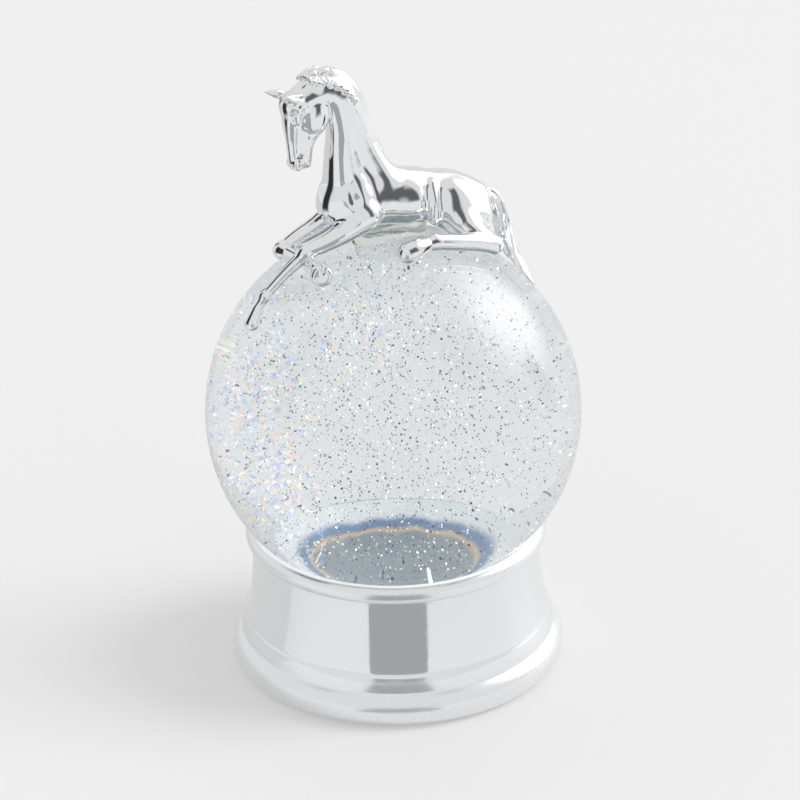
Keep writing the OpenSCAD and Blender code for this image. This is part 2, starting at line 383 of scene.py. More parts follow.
def flake_finish(name, stops, roughness, sparkle_from, sparkle):
    """Glitter film: each flake takes a colour of the ramp from its own draw, and the highest draws glow in it
    as a painted glint.
    """
    material, shader = new_material(name, stops[0][1], roughness)
    nodes, links = material.node_tree.nodes, material.node_tree.links
    draw = nodes.new("ShaderNodeAttribute")
    draw.attribute_name = "draw"
    colours = ramp(material, stops)
    colours.color_ramp.interpolation = "CONSTANT"
    links.new(draw.outputs["Fac"], colours.inputs["Fac"])
    links.new(colours.outputs["Color"], shader.inputs["Base Color"])
    links.new(colours.outputs["Color"], shader.inputs["Emission Color"])
    # Painted glint: flakes drawn above sparkle_from glow in their own colour.
    flash = nodes.new("ShaderNodeMath")
    flash.operation = "GREATER_THAN"
    flash.inputs[1].default_value = sparkle_from
    links.new(draw.outputs["Fac"], flash.inputs[0])
    power = nodes.new("ShaderNodeMath")
    power.operation = "MULTIPLY"
    power.inputs[1].default_value = sparkle
    links.new(flash.outputs[0], power.inputs[0])
    links.new(power.outputs[0], shader.inputs["Emission Strength"])
    return material


def silver_flake():
    dark, mid, pale, white = (0.09, 0.095, 0.11), (0.28, 0.29, 0.32), (0.62, 0.64, 0.68), (1.0, 1.0, 1.0)
    stops = ((0.0, dark), (0.48, mid), (0.70, pale), (0.86, white))
    return flake_finish("silver_flake", stops, 0.3, 0.87, 1.1)


def iridescent_flake(name="iridescent_flake", cover=1.0, flash_from=0.8, flash=1.0):
    stops = ((0.0, (0.45, 0.45, 0.85)), (0.18, (0.40, 0.58, 0.90)), (0.34, (0.62, 0.84, 0.90)),
             (0.44, (0.95, 0.90, 0.62)), (0.54, (0.98, 0.68, 0.48)), (0.66, (0.92, 0.62, 0.80)),
             (0.78, (1.0, 1.0, 1.0)))
    material = flake_finish(name, stops, 0.25, flash_from, flash)
    material.node_tree.nodes["Principled BSDF"].inputs["Alpha"].default_value = cover
    return material


def settled_flake():
    stops = ((0.0, (0.10, 0.13, 0.20)), (0.22, (0.22, 0.34, 0.62)), (0.38, (0.40, 0.44, 0.50)),
             (0.55, (0.75, 0.48, 0.20)), (0.62, (0.75, 0.78, 0.80)), (0.70, (1.0, 1.0, 1.0)))
    return flake_finish("settled_flake", stops, 0.3, 0.66, 0.9)


# ---------------------------------------------------------------- mesh helpers

def link(obj):
    bpy.context.scene.collection.objects.link(obj)
    return obj


def mesh_piece(name, points, faces, material, sharp_degrees=None):
    """A mesh object at the origin, shaded smooth, with edges over sharp_degrees kept crisp."""
    mesh = bpy.data.meshes.new(name)
    mesh.from_pydata([tuple(p) for p in points], [], [tuple(f) for f in faces])
    mesh.update()
    mesh.shade_smooth()
    if sharp_degrees is not None:
        mesh.set_sharp_from_angle(angle=math.radians(sharp_degrees))
    mesh.materials.append(material)
    return link(bpy.data.objects.new(name, mesh))


def belong(piece, body, slot, *nodes):
    """The piece rides on a body and stands for CAD nodes, which are hidden. The slot is not used."""
    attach(piece, body)
    if nodes:
        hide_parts(*nodes)


def bowed(p, q, bow, steps=12):
    """Points from p to q, swelling by bow to the right of the way there."""
    p, q = Vector(p), Vector(q)
    way = q - p
    side = Vector((way.y, -way.x)).normalized()
    return [p + way * t + side * bow * 4 * t * (1 - t) for t in (i / steps for i in range(steps + 1))]


def arc(centre, radius, start, end, steps=16):
    """Points of a round stretch about centre, from one angle to another in degrees."""
    turns = (math.radians(start + (end - start) * i / steps) for i in range(steps + 1))
    return [Vector((centre[0] + radius * math.cos(a), centre[1] + radius * math.sin(a))) for a in turns]


def lathe(name, outlines, steps, material, sharp_degrees=None):
    """Turns outlines of (radius, height) points about Z.

    Each outline runs in one direction with its outside on its right.
    """
    points, faces = [], []
    for outline, closed in outlines:
        rings = []
        for radius, height in outline:
            if radius < 1e-7:
                rings.append([len(points)] * steps)
                points.append((0.0, 0.0, height))
                continue
            rings.append(list(range(len(points), len(points) + steps)))
            points += [(radius * math.cos(a), radius * math.sin(a), height)
                       for a in (2 * math.pi * k / steps for k in range(steps))]
        pairs = list(zip(rings, rings[1:] + rings[:1])) if closed else list(zip(rings, rings[1:]))
        for low, high in pairs:
            for k in range(steps):
                n = (k + 1) % steps
                face = [low[k], low[n], high[n], high[k]]
                face = [v for i, v in enumerate(face) if v != face[i - 1]]
                if len(face) > 2:
                    faces.append(face)
    return mesh_piece(name, points, faces, material, sharp_degrees)


# ---------------------------------------------------------------- base

def base_outline(base, globe):
    """The closed section of the casing: foot, cove, bead, globe seat, shelf and hollow inside."""
    foot, waist, rim = base.foot_radius, base.waist_radius, base.rim_height
    bead_r = 3.4 * MM
    bead_mid = (base.bead_radius - bead_r, base.bead_height)
    seat_r = globe.glass_radius + base.seat_gap
    hollow_r, hollow_top = waist - 3 * MM, 33 * MM
    shelf_r = STOPPER_HIGH.x + 3.5 * MM
    recess_r, recess_top = 47.5 * MM, COVER_HIGH.z
    lip = 3.6 * MM
    outer = [Vector((recess_r, rim))]
    outer += arc((foot - lip, rim + lip), lip, -90, 0, 14)
    outer += bowed((foot, rim + lip), (foot - 2.7 * MM, 11.2 * MM), 1.1 * MM)
    outer += bowed((foot - 3.0 * MM, 11.5 * MM), (foot - 4.3 * MM, 16.8 * MM), 0.12 * MM)
    outer += bowed((foot - 4.5 * MM, 17 * MM), (waist, base.bead_height - bead_r + 0.2 * MM), -0.75 * MM, 24)
    outer += arc(bead_mid, bead_r, -60, 58, 28)

    def seat_angle(radius):
        return math.degrees(math.asin(radius / seat_r)) - 90

    seat = arc((0.0, globe.centre_height), seat_r, seat_angle(46.6 * MM), seat_angle(shelf_r), 20)
    inside = [Vector((shelf_r, hollow_top)), Vector((hollow_r, hollow_top)), Vector((hollow_r, recess_top)),
              Vector((recess_r, recess_top))]
    return outer + seat + inside


class SNOWGLOBE_OT_base(bpy.types.Operator):
    """Turn the plated base"""

    bl_idname = "snow_globe.base"
    bl_label = "Plated Base"

    def execute(self, context):
        base, globe = context.scene.snow_globe_base, context.scene.snow_globe_globe
        material = plating("plated_base", base.plate_tint, 55.0, 0.0002, 0.14)
        soften_ends(material, 17.5 * MM, 10.5 * MM, base.bead_height - 4.5 * MM, base.bead_height - 3.0 * MM)
        piece = lathe("turned_base", [(base_outline(base, globe), True)], base.steps, material, 50)
        belong(piece, "globe", "plated_base", "base_shell")

        inner, outer = globe.glass_radius - 0.03 * MM, globe.glass_radius + base.seat_gap - 0.03 * MM
        neck_out = globe.neck_radius + globe.glass_wall + 0.3 * MM

        def bearing(reach, radius):
            return math.degrees(math.asin(reach / radius)) - 90

        middle = (0.0, globe.centre_height)
        hold = (STOPPER_HIGH.x + 3.6 * MM, 45.6 * MM)
        ring = arc(middle, inner, bearing(hold[1], inner), bearing(neck_out, inner), 40)
        ring += arc(middle, outer, bearing(hold[0], outer), bearing(hold[1], outer), 24)
        stops = ((0.0, globe.stopper_tint), (0.918, globe.stopper_tint), (0.926, globe.warm_tint),
                 (0.932, globe.fringe_tint), (0.944, globe.fringe_tint), (0.955, globe.bedding_tint))
        # The bedding glows at 0.85 of its colour: painted light.
        silicone = bottom_finish("clear_silicone", stops, 46 * MM, 0.85)
        piece = lathe("silicone_ring", [(ring[::-1], True)], base.steps, silicone, 50)
        belong(piece, "globe", "clear_silicone", "globe_bond_ring")
        return {"FINISHED"}


class SNOWGLOBE_OT_fittings(bpy.types.Operator):
    """Finish the cover, screws, felt, stopper and sealants"""

    bl_idname = "snow_globe.fittings"
    bl_label = "Cover, Stopper and Seals"

    def execute(self, context):
        globe = context.scene.snow_globe_globe
        finishes = {
            "base_cover": plain_finish("cover_plastic", (0.30, 0.31, 0.32), 0.45, 0.65, 1200.0, 0.0001),
            "felt_pad": plain_finish("felt", (0.035, 0.038, 0.045), 0.9, 1.0, 2500.0, 0.0005,
                                     Sheen_Weight=0.5),
            # Painted light: the stopper glows at half strength in its own tint.
            "stopper": plain_finish("stopper_rubber", globe.stopper_tint, 0.35, 0.6, 700.0, 0.0002,
                                    Emission_Color=(*globe.stopper_tint, 1.0), Emission_Strength=0.5),
            "stopper_seal": plain_finish("white_sealant", (0.75, 0.75, 0.72), 0.3, 0.5, 400.0, 0.0003),
            "figurine_bond": clear_bond("clear_bond", (0.80, 0.83, 0.79), 0.1),
        }
        steel = plain_finish("screw_steel", (0.5, 0.51, 0.53), 0.25, 0.4, 1500.0, 0.00005, 1.0)
        finishes.update({name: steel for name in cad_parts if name.startswith("cover_screw")})
        for name, material in finishes.items():
            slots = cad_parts[name].data.materials
            slots.clear()
            slots.append(material)
        return {"FINISHED"}


# ---------------------------------------------------------------- globe

class SNOWGLOBE_OT_globe(bpy.types.Operator):
    """Blow the glass globe and fill it with liquid"""

    bl_idname = "snow_globe.globe"
    bl_label = "Glass and Liquid"

    def execute(self, context):
        globe = context.scene.snow_globe_globe
        outer_r, inner_r = globe.glass_radius, globe.glass_radius - globe.glass_wall
        centre = globe.centre_height
        steps, rings = 192, 120
        neck_out = globe.neck_radius + globe.glass_wall

        def polar(radius, reach):
            return math.degrees(math.asin(reach / radius)) - 90

        glass = [Vector((neck_out, GLASS_LOW.z))]
        glass += arc((0.0, centre), outer_r, polar(outer_r, neck_out), 90, rings)
        glass[-1].x = 0.0
        hollow = arc((0.0, centre), inner_r, 90, polar(inner_r, globe.neck_radius), rings)
        hollow[0].x = 0.0
        hollow.append(Vector((globe.neck_radius, GLASS_LOW.z)))
        piece = lathe("blown_globe", [(glass + hollow, True)], steps, globe_glass(globe.glass_tint), 60)
        # The window lights the glitter through clear glass and liquid, so neither casts a shadow.
        piece.visible_shadow = False
        belong(piece, "globe", "globe_glass", "glass_globe")

        liquid_r = inner_r + globe.wetting
        low_z, high_z = STOPPER_HIGH.z - 0.4 * MM, LIQUID_HIGH.z
        low = math.degrees(math.asin((low_z - centre) / liquid_r))
        high = math.degrees(math.asin((high_z - centre) / liquid_r))
        outline = [Vector((0.0, low_z))] + arc((0.0, centre), liquid_r, low, high, rings)
        outline.append(Vector((0.0, high_z)))
        piece = lathe("filled_liquid", [(outline, False)], steps, clear_liquid(globe.liquid_tint), 40)
        piece.visible_shadow = False
        belong(piece, "contents", "clear_liquid", "liquid")
        return {"FINISHED"}


# ---------------------------------------------------------------- horse

def turned(point, origin, degrees):
    """A ball of a turned part, in the axes of the whole horse."""
    c, s = math.cos(math.radians(degrees)), math.sin(math.radians(degrees))
    x, y, z = point[:3]
    return (origin[0] + x * c - y * s, origin[1] + x * s + y * c, origin[2] + z, *point[3:])


def smooth_path(balls, steps):
    """A Catmull-Rom run through balls (x, y, z, radius), with steps in each stretch."""
    knots = np.array([balls[0], *balls, balls[-1]], float)
    run = []
    for p0, p1, p2, p3 in zip(knots, knots[1:], knots[2:], knots[3:]):
        for t in np.arange(steps) / steps:
            run.append(0.5 * (2 * p1 + (p2 - p0) * t + (2 * p0 - 5 * p1 + 4 * p2 - p3) * t * t
                              + (3 * p1 - p0 - 3 * p2 + p3) * t ** 3))
    return [tuple(p) for p in run] + [tuple(knots[-1])]


class Clay:
    """A distance field on a grid, in millimetres, built up and carved with soft seams."""

    def __init__(self, low, high, cell):
        self.low, self.cell = np.array(low, np.float32), cell
        self.size = np.ceil((np.array(high) - self.low) / cell).astype(int) + 1
        self.field = np.full(self.size, 9.0, np.float32)

    def window(self, low, high):
        """The part of the grid inside a box, and its points."""
        first = np.clip(np.floor((np.array(low) - self.low) / self.cell).astype(int), 0, self.size - 2)
        last = np.clip(np.ceil((np.array(high) - self.low) / self.cell).astype(int) + 1, first + 1, self.size)
        spot = tuple(slice(a, b) for a, b in zip(first, last))
        runs = [self.low[i] + self.cell * np.arange(first[i], last[i], dtype=np.float32) for i in range(3)]
        return spot, np.stack(np.meshgrid(*runs, indexing="ij"), -1)

    def merge(self, spot, distance, blend, carve):
        old = self.field[spot]
        new = -distance if carve else distance
        sign = -1.0 if carve else 1.0
        seam = np.maximum(blend - np.abs(old - new), 0.0) / max(blend, 1e-6)
        pick = np.maximum(old, new) if carve else np.minimum(old, new)
        self.field[spot] = pick - sign * seam * seam * blend / 4

    def limb(self, balls, blend=1.5, carve=False, steps=5):
        """A chain of balls and the solid swept between each pair of them."""
        if steps:
            balls = smooth_path(balls, steps)
        balls = np.array(balls, np.float32)
        reach = blend + 1.2
        whole, points = self.window((balls[:, :3] - balls[:, 3:]).min(0) - reach,
                                    (balls[:, :3] + balls[:, 3:]).max(0) + reach)
        nearest = np.full(points.shape[:3], 9.0, np.float32)
        for a, b in zip(balls, balls[1:]):
            low = np.minimum(a[:3] - a[3], b[:3] - b[3]) - reach
            high = np.maximum(a[:3] + a[3], b[:3] + b[3]) + reach
            part = self.window(low, high)[0]
            part = tuple(slice(p.start - w.start, p.stop - w.start) for p, w in zip(part, whole))
            way = b[:3] - a[:3]
            span = max(float(np.linalg.norm(way)), 1e-4)
            taper = float(a[3] - b[3])
            slant = taper / math.sqrt(max(span * span - taper * taper, 1e-6))
            out = points[part] - a[:3]
            along = out @ (way / span)
            aside = np.sqrt(np.maximum((out * out).sum(-1) - along * along, 0.0))
            near = np.clip((along - aside * slant) / span, 0.0, 1.0)
            distance = np.hypot(along - near * span, aside) - (a[3] - taper * near)
            nearest[part] = np.minimum(nearest[part], distance)
        self.merge(whole, nearest, blend, carve)

    def egg(self, centre, radii, axes=((1, 0, 0), (0, 1, 0), (0, 0, 1)), blend=1.0, carve=False):
        """An ellipsoid whose radii lie along three axes."""
        centre = np.array(centre, np.float32)
        frame_axes = np.array(axes, np.float32)
        frame_axes /= np.linalg.norm(frame_axes, axis=1, keepdims=True)
        radii = np.array(radii, np.float32)
        reach = np.sqrt((frame_axes.T ** 2) @ (radii ** 2)) + blend + 1.2
        spot, points = self.window(centre - reach, centre + reach)
        local = (points - centre) @ frame_axes.T
        k0 = np.linalg.norm(local / radii, axis=-1)
        k1 = np.linalg.norm(local / radii ** 2, axis=-1)
        self.merge(spot, k0 * (k0 - 1.0) / np.maximum(k1, 1e-6), blend, carve)

    def clear_ball(self, centre, radius, blend):
        """Keeps only what lies outside a ball, with a rounded edge."""
        for i in range(self.size[0]):
            x = self.low[0] + self.cell * i - centre[0]
            y = self.low[1] + self.cell * np.arange(self.size[1])[:, None] - centre[1]
            z = self.low[2] + self.cell * np.arange(self.size[2])[None, :] - centre[2]
            ball = radius - np.sqrt(x * x + y * y + z * z)
            seam = np.maximum(blend - np.abs(self.field[i] - ball), 0.0) / blend
            self.field[i] = np.maximum(self.field[i], ball) + seam * seam * blend / 4

    def sample(self, points):
        """The field and its slope at points given in grid steps."""
        base = np.clip(np.floor(points).astype(int), 0, self.size - 2)
        part = points - base
        value = np.zeros(len(points))
        slope = np.zeros((len(points), 3))
        for corner in np.ndindex(2, 2, 2):
            at = tuple((base + corner).T)
            weight = np.where(corner, part, 1 - part)
            held = self.field[at]
            value += held * weight.prod(1)
            for axis in range(3):
                rest = np.delete(weight, axis, 1).prod(1)
                slope[:, axis] += held * rest * (1 if corner[axis] else -1)
        return value, slope

    def surface(self):
        """Points and quads of the zero surface: one point in each cell that it crosses."""
        inside = self.field < 0
        cells = self.size - 1
        total = np.zeros(cells, np.int8)
        for corner in np.ndindex(2, 2, 2):
            total += inside[tuple(slice(c, c + n) for c, n in zip(corner, cells))]
        spots = np.argwhere((total > 0) & (total < 8))
        number = np.full(cells, -1)
        number[tuple(spots.T)] = np.arange(len(spots))
        middle = np.zeros((len(spots), 3))
        crossings = np.zeros(len(spots))
        for axis in range(3):
            for corner in np.ndindex(2, 2, 2):
                if corner[axis]:
                    continue
                end = tuple(c + (i == axis) for i, c in enumerate(corner))
                a = self.field[tuple((spots + corner).T)]
                b = self.field[tuple((spots + end).T)]
                cut = (a < 0) != (b < 0)
                at = np.where(cut, a / np.where(cut, a - b, 1.0), 0.0)
                place = np.tile(np.array(corner, float), (len(spots), 1))
                place[:, axis] += at
                middle += place * cut[:, None]
                crossings += cut
        points = spots + middle / crossings[:, None]
        for _ in range(3):
            value, slope = self.sample(points)
            step = value[:, None] * slope / np.maximum((slope ** 2).sum(1), 0.05)[:, None]
            points = points - np.clip(step, -0.35, 0.35)
        quads = []
        for axis in range(3):
            u, v = (axis + 1) % 3, (axis + 2) % 3
            head = [slice(None)] * 3
            tail = [slice(None)] * 3
            head[axis], tail[axis] = slice(0, -1), slice(1, None)
            changed = np.argwhere(inside[tuple(head)] != inside[tuple(tail)])
            changed = changed[(changed[:, u] > 0) & (changed[:, v] > 0)
                              & (changed[:, u] < cells[u]) & (changed[:, v] < cells[v])]
            ring = []
            for du, dv in ((1, 1), (0, 1), (0, 0), (1, 0)):
                spot = changed.copy()
                spot[:, u] -= du
                spot[:, v] -= dv
                ring.append(number[tuple(spot.T)])
            face = np.stack(ring, 1)
            outward = inside[tuple(changed.T)]
            face[~outward] = face[~outward][:, ::-1]
            quads.append(face)
        return self.low + points * self.cell, np.concatenate(quads)


def model_body(clay):
    """Barrel, withers, shoulders, haunches and neck."""
    clay.limb([(17, 0, 74, 7.4), (6, 0, 73.2, 8.8), (-5, 0, 72.3, 8.4), (-13, 0, 71.3, 7.8),
               (-20, 0, 68.6, 8.8), (-27, 0, 65.7, 7.6)], 2.5, steps=4)
    clay.limb([(4, 0, 78.6, 4.6), (-3, 0, 76.5, 5.0), (-9, 0, 74.4, 4.6)], 3.0, steps=3)
    clay.egg((-5.5, 0, 71.5), (9.5, 9.3, 8.0), blend=3.0)
    for side in (-1, 1):
        clay.limb([(12, side * 2.5, 80, 4.4), (13.5, side * 4.6, 75, 5.4), (13, side * 6.4, 70.5, 4.6)], 2.5)
        clay.limb([(-14.5, side * 5.6, 66.5, 4.4), (-20.5, side * 5.2, 65.0, 6.4),
                   (-28, side * 4.3, 61.5, 5.5)], 2.5)
        clay.egg((-19.5, side * 5.2, 68.0), (6.6, 4.6, 8.0), blend=2.0)
    clay.limb([(15, 0, 79, 7.3), (15.6, 0, 90.5, 5.6), (15.8, 0, 100.5, 4.7), (18, 0, 109.5, 4.6),
               (22.5, 0, 113.0, 4.4)], 3.0, steps=4)
    clay.limb([(3.6, 0, 79.8, 6.3), (8.6, 0, 91.7, 4.3), (11.2, 0, 102, 3.7), (15.4, 0, 110.8, 3.9),
               (19.6, 0, 115.2, 3.4), (25, 0, 115.8, 3.0)], 3.0, steps=4)


def carve_body(clay):
    """The fold of the flank, and the grooves of the neck and shoulder."""
    for side in (-1, 1):
        clay.limb([(-9.6, side * 8.6, 76.0, 0.9), (-9.2, side * 10.4, 70.5, 1.1),
                   (-9.4, side * 9.9, 64.5, 1.2)], 2.0, True, steps=4)
        clay.limb([(-14.4, side * 9.0, 75.0, 0.8), (-14.2, side * 11.2, 70.0, 1.0),
                   (-13.6, side * 11.4, 65.0, 1.0)], 1.8, True, steps=4)
        clay.limb([(-12.4, side * 5.6, 77.2, 1.1), (-11.8, side * 8.7, 71.5, 1.2),
                   (-11.4, side * 9.0, 65.5, 1.4)], 1.4, steps=4)
        clay.limb([(20.6, side * 5.4, 108.0, 0.5), (17.8, side * 6.2, 101, 0.9), (17.0, side * 6.9, 92, 1.0),
                   (16.4, side * 8.4, 84.0, 1.7), (15.6, side * 10.2, 78.0, 2.2)], 1.2, True, steps=4)
        clay.limb([(4.8, side * 10.2, 80, 0.7), (5.2, side * 11.4, 74, 0.8), (7.2, side * 12.0, 68, 0.8)],
                  2.6, True, steps=4)


def model_legs(clay):
    """The near foreleg stretched out, the far one folded under it, and both hind legs drawn forward."""
    clay.limb([(11.0, 7.0, 71.2, 4.8), (19.0, 7.4, 67.2, 3.6), (25.0, 6.6, 64.4, 2.9),
               (30.4, 5.2, 62.4, 2.5)], 1.6, steps=3)
    clay.egg((31.0, 5.1, 61.8), (3.0, 2.7, 2.8), blend=0.9)
    clay.limb([(31.0, 5.2, 61.4, 2.3), (37.4, 4.6, 56.4, 1.85), (43.6, 3.9, 50.4, 1.7)], 0.9, steps=3)
    clay.egg((44.6, 3.8, 49.4), (2.15, 2.0, 2.1), blend=0.7)
    clay.limb([(44.6, 3.8, 49.2, 1.7), (47.2, 3.8, 45.6, 1.55)], 0.7)
    clay.limb([(47.1, 3.8, 45.7, 1.8), (48.2, 3.8, 43.3, 2.15), (49.2, 3.8, 41.0, 2.5)], 0.35)
    clay.limb([(14.0, -5.0, 69.8, 4.6), (21, -7.0, 64.6, 3.4), (27.5, -8.0, 61.2, 2.8),
               (32.6, -8.0, 58.2, 2.6)], 1.6, steps=3)
    clay.egg((33.4, -8.0, 57.8), (3.0, 3.0, 3.0), blend=0.9)
    clay.limb([(33.0, -7.6, 57.6, 2.5), (30.8, 2, 58.1, 1.8), (29.6, 8.4, 58.5, 1.8)], 0.9, steps=3)
    clay.egg((29.4, 9.4, 58.4), (2.1, 2.2, 2.1), blend=0.6)
    clay.limb([(29.3, 10.0, 58.2, 1.6), (28.9, 11.4, 57.8, 1.8)], 0.6)
    for side, rise in ((1, 0.0), (-1, -1.6)):
        clay.limb([(-20.5, side * 8.0, 62.6 + rise / 2, 5.2), (-26.0, side * 11.5, 57.8 + rise / 2, 3.8),
                   (-29.6, side * 13.6, 55.4 + rise, 3.0)], 1.8, steps=3)
        clay.egg((-29.4, side * 13.8, 55.2 + rise), (2.9, 2.7, 3.1), blend=0.9)
        clay.limb([(-29.0, side * 13.9, 55.6 + rise, 3.0), (-22.5, side * 15.0, 58.2 + rise, 2.8),
                   (-15.0, side * 16.0, 60.2 + rise, 2.6), (-9.4, side * 16.2, 61.6 + rise, 2.5)],
                  0.9, steps=3)
        clay.egg((-8.0, side * 16.3, 61.8 + rise), (2.9, 2.4, 2.7), blend=0.7)
        clay.limb([(-7.6, side * 16.4, 61.8 + rise, 2.2), (-4.0, side * 17.0, 61.8 + rise, 2.0)], 0.7)
        clay.limb([(-4.2, side * 17.0, 61.8 + rise, 2.5), (-0.6, side * 17.7, 61.4 + rise, 3.2),
                   (2.2, side * 18.1, 60.9 + rise, 3.3)], 0.35)


def model_sole(clay):
    """The sole of the folded far foreleg: a hoof whose flat face looks outward, with its frog."""
    centre = np.array((28.9, 12.6, 56.6))
    out = centre - np.array((1.6, 3.7, 0.0))
    out /= np.linalg.norm(out)
    face = np.array((0.42, 0.88, 0.22))
    face /= np.linalg.norm(face)
    up = np.cross(face, np.cross(out, face))
    up /= np.linalg.norm(up)
    side = np.cross(up, face)
    clay.egg(centre - face * 0.4, (3.6, 3.6, 2.3), (side, up, face), blend=0.4)
    clay.egg(centre + face * 5.6, (6.0, 6.0, 4.6), (side, up, face), blend=0.25, carve=True)
    rise = up * 0.8 + side * 0.6
    clay.limb([(*(centre + face * 1.1 - rise * 0.3), 0.3), (*(centre + face * 1.2 + rise * 3.4), 1.25)],
              0.25, True)


def model_head(clay, origin, degrees):
    """Skull, cheeks, face, muzzle, eyes, nostrils and lips, in the head's own turned axes."""
    def own(*balls):
        return [turned(ball, origin, degrees) for ball in balls]

    def axes(*rows):
        return [turned(row, (0, 0, 0), degrees) for row in rows]

    clay.limb(own((0.0, 0, 2.2, 4.3), (4.6, 0, 2.0, 4.4), (8.4, 0, 0.4, 4.1)), 2.0)
    clay.limb(own((8.4, 0, 0.4, 4.1), (9.4, 0, -5.0, 2.7), (9.5, 0, -12.0, 1.6), (8.9, 0, -18.2, 1.6)), 1.4,
              steps=3)
    clay.limb(own((1.4, 0, -2.0, 4.5), (1.8, 0, -6.8, 4.3), (3.9, 0, -13.0, 2.6), (5.0, 0, -18.8, 2.5)),
              1.4, steps=3)
    clay.limb(own((6.0, 0, -6.0, 3.1), (6.8, 0, -12.0, 2.15), (6.9, 0, -18.4, 2.3)), 1.2, steps=3)
    plain = axes((1, 0, 0), (0, 1, 0), (0, 0, 1))
    for side in (-1, 1):
        clay.egg(own((1.7, side * 2.4, -4.4))[0], (5.2, 2.8, 6.0), plain, 0.9)
        clay.egg(own((9.0, side * 3.0, -2.4))[0], (1.7, 1.25, 2.9), plain, 0.5)
        clay.limb(own((7.4, side * 4.5, 1.8, 0.3), (6.7, side * 5.0, -1.4, 0.5), (7.0, side * 4.7, -4.4, 0.5),
                      (8.8, side * 3.4, -6.2, 0.35)), 0.6, True, steps=3)
        clay.limb(own((9.5, side * 1.9, -6.0, 0.8), (9.4, side * 1.35, -12, 0.65),
                      (9.0, side * 1.2, -17, 0.7)), 0.5)
        clay.egg(own((8.3, side * 1.7, -18.9))[0], (1.9, 1.3, 2.1), plain, 0.6)
        clay.limb(own((7.7, side * 3.6, -7.2, 0.8), (7.4, side * 3.1, -11.0, 0.9),
                      (7.3, side * 2.9, -15.2, 0.7)), 0.9, True)
        clay.egg(own((10.2, side * 3.35, -0.4))[0], (1.35, 1.0, 1.1), plain, 0.3, True)
        clay.egg(own((10.1, side * 2.95, -0.45))[0], (1.05, 0.95, 0.85), plain, 0.12)
        clay.limb(own((8.7, side * 4.0, 0.6, 0.35), (10.2, side * 3.7, 0.95, 0.4),
                      (11.5, side * 2.9, 0.1, 0.3)), 0.4)
        clay.egg(own((8.6, side * 2.95, -19.0))[0], (0.5, 0.6, 0.85), plain, 0.35, True)
        clay.limb(own((1.6, side * 4.5, -9.6, 0.4), (4.4, side * 3.6, -9.4, 0.4),
                      (5.8, side * 3.2, -8.2, 0.3)), 0.9, True, steps=3)
    clay.egg(own((7.4, 0, -20.2))[0], (2.5, 2.0, 1.5), axes((1, 0, 0.1), (0, 1, 0), (-0.1, 0, 1)), 0.6)
    clay.egg(own((4.4, 0, -20.2))[0], (2.0, 1.7, 1.5), axes((1, 0, 0.2), (0, 1, 0), (-0.2, 0, 1)), 0.5)
    for side in (-1, 1):
        clay.limb(own((3.9, side * 2.5, -18.1, 0.22), (5.6, side * 2.2, -19.6, 0.28),
                      (6.6, side * 1.2, -21.4, 0.3)), 0.3, True)


def model_ears(clay, origin, degrees):
    """Two pricked leaf-shaped ears, cupped on the side that faces forward and out."""
    ears = (((5.6, 2.7, 2.2), (14.1, 3.3, 5.3), 1), ((7.4, -3.0, 2.2), (16.2, -3.9, 5.6), -1))
    for root, tip, side in ears:
        way = Vector(turned(tip, (0, 0, 0), degrees)) - Vector(turned(root, (0, 0, 0), degrees))
        way.normalize()
        out = Vector(turned((-0.15, side * 0.75, 0.55), (0, 0, 0), degrees))
        across = way.cross(out).normalized()
        out = across.cross(way)
        middle = Vector(turned([(a + b) / 2 for a, b in zip(root, tip)], origin, degrees))
        clay.egg(middle - way * 1.4, (3.8, 1.65, 1.3), (way, across, out), 0.6)
        clay.limb([(*(middle - way * 1.5), 1.3), (*(middle + way * 1.8), 0.95),
                   (*(middle + way * 4.6), 0.25)], 0.5)
        clay.egg(middle + out * 1.35, (3.0, 0.6, 0.85), (way, across, out), 0.25, True)


def model_mane(clay, origin, degrees):
    """The roached crest, the row of braids beside it and the tuft between the ears."""
    crest = [(22.5, 0, 118.3, 1.5), (18.5, 0, 118.0, 1.7), (14.0, 0, 115.0, 1.8), (10.3, 0, 109.6, 1.7),
             (7.7, 0, 102.6, 1.6), (5.6, 0, 96.0, 1.5), (3.0, 0, 89.5, 1.2)]
    clay.limb(crest, 1.6, steps=4)
    for side in (-1, 1):
        row = smooth_path([(26.3, side * 3.3, 117.3, 1), (20.4, side * 4.2, 116.1, 1),
                           (17.0, side * 4.4, 114.2, 1), (14.2, side * 4.4, 111.6, 1),
                           (12.0, side * 4.3, 108.6, 1)], 3)
        for i, (x, y, z, _) in enumerate(row):
            clay.egg((x, y, z + 0.25 * (-1) ** i), (0.75, 0.8, 1.0), ((1, 0, 0.5), (0, 1, 0), (-0.5, 0, 1)),
                     0.12)
            clay.egg((x + 0.5, y - side * 0.6, z + 1.2), (0.55, 0.6, 0.5), blend=0.12)
        for i in range(8):
            x = 27.0 - 1.35 * i
            clay.limb([(x + 0.8, side * 0.8, 118.9 - 0.05 * i * i, 0.5),
                       (x, side * 2.4, 118.4 - 0.06 * i * i, 0.55),
                       (x - 0.6, side * 3.9, 117.0 - 0.06 * i * i, 0.45)], 0.2, steps=3)
    draw = np.random.default_rng(11)
    for i in range(16):
        t = i / 15
        x, z = 28.0 - 9.5 * t, 116.6 + 3.3 * math.sin(math.pi * (0.15 + 0.65 * t))
        y = draw.uniform(-1.9, 1.9)
        lean = draw.uniform(-0.8, 0.8)
        clay.limb([(x + 1.1, y, z - 0.6, 0.55), (x, y + 0.3, z + 0.35, 0.7),
                   (x - 1.3, y + lean, z - 0.1, 0.5)], 0.25)
    for side in (-0.7, 0.3, 1.1):
        clay.limb([turned(b, origin, degrees) for b in
                   ((2.0, side, 7.4, 0.8), (5.8, side, 6.2, 0.75), (8.8, side * 0.8, 4.4, 0.65),
                    (10.6, side * 0.5, 2.4, 0.35))], 0.3, steps=3)


